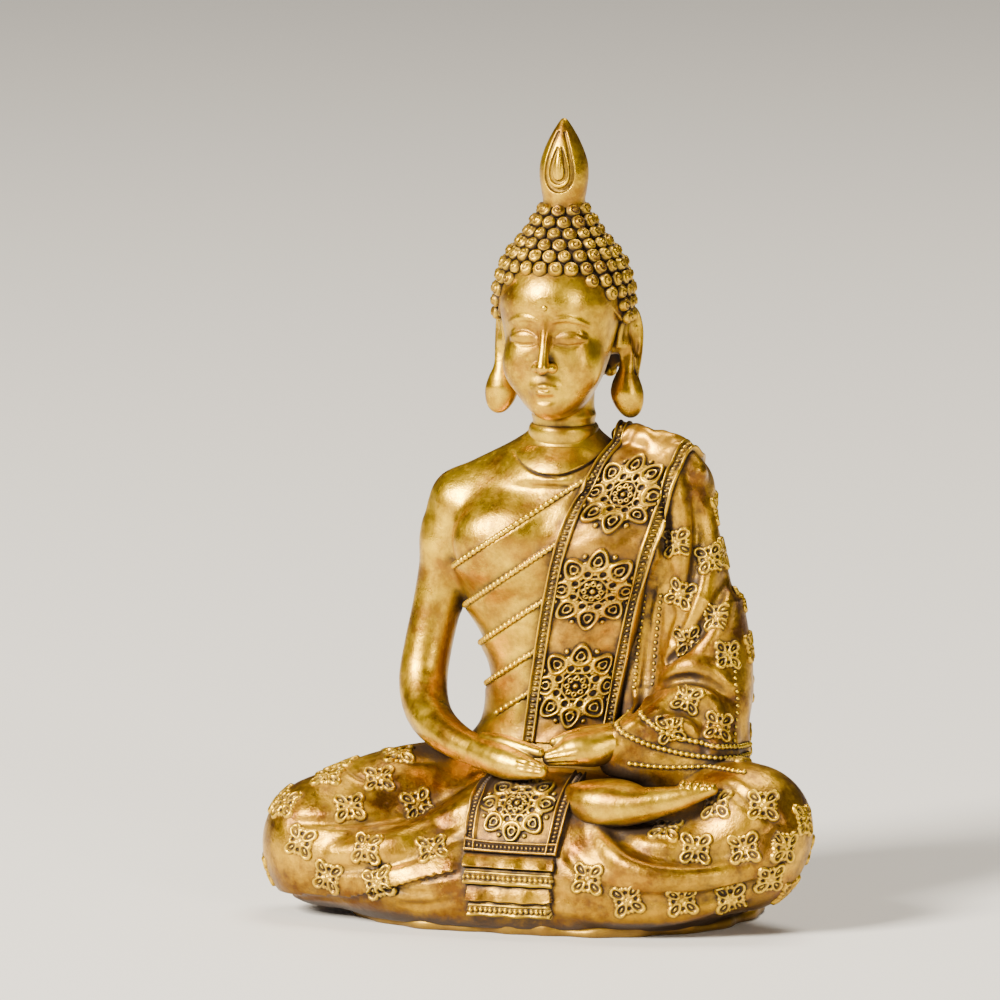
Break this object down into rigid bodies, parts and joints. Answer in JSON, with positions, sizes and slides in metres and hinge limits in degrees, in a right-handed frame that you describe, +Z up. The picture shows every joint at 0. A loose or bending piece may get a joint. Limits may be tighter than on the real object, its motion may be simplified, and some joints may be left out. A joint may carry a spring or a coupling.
{
  "type": "seated buddha statuette",
  "caption": "Seated meditating Buddha statuette with bare right arm, folded hands, trimmed sash, curled hair and flame finial, on a low rim.",
  "frame": {"origin": "middle of the underside of the rim slab, at the centre of the statuette's box", "axes": "+Z up, the figure faces -Y, and its left side (the robed shoulder) is towards +X"},
  "size_m": [0.1694, 0.0996, 0.24],
  "materials": {
    "skin_gold": "satin metallic gold paint on cast resin, rubbed bright on the high spots",
    "robe_gold": "satin metallic gold paint on cast resin, with brown patina in the hollows",
    "trim_gold": "satin metallic gold paint on raised ornament",
    "dark_gold": "gold paint with heavy dark patina between the ornaments"
  },
  "bodies": {
    "root": {"base_rim": "robe_gold", "lap_casting": "robe_gold", "torso_casting": "skin_gold", "neck_collar": "skin_gold", "head_casting": "skin_gold", "hair_cap": "dark_gold", "flame_finial": "skin_gold", "ear_right": "skin_gold", "ear_left": "skin_gold", "urna": "skin_gold", "right_arm": "skin_gold", "right_hand": "skin_gold", "left_sleeve": "robe_gold", "left_hand": "skin_gold", "crossed_foot": "skin_gold", "sash_panel": "dark_gold", "sash_border_inner": "trim_gold", "sash_border_outer": "trim_gold", "sash_medallion_lower": "trim_gold", "sash_medallion_middle": "trim_gold", "sash_medallion_upper": "trim_gold", "chest_cord_1": "trim_gold", "chest_cord_2": "trim_gold", "chest_cord_3": "trim_gold", "chest_cord_4": "trim_gold", "chest_cord_5": "trim_gold", "back_sash": "dark_gold", "sleeve_hem_upper": "trim_gold", "sleeve_hem_lower": "trim_gold", "apron_panel": "dark_gold", "apron_medallion": "trim_gold", "apron_pleat_1": "trim_gold", "apron_pleat_2": "trim_gold", "apron_pleat_3": "trim_gold", "apron_pleat_4": "trim_gold"}
  },
  "joints": []
}
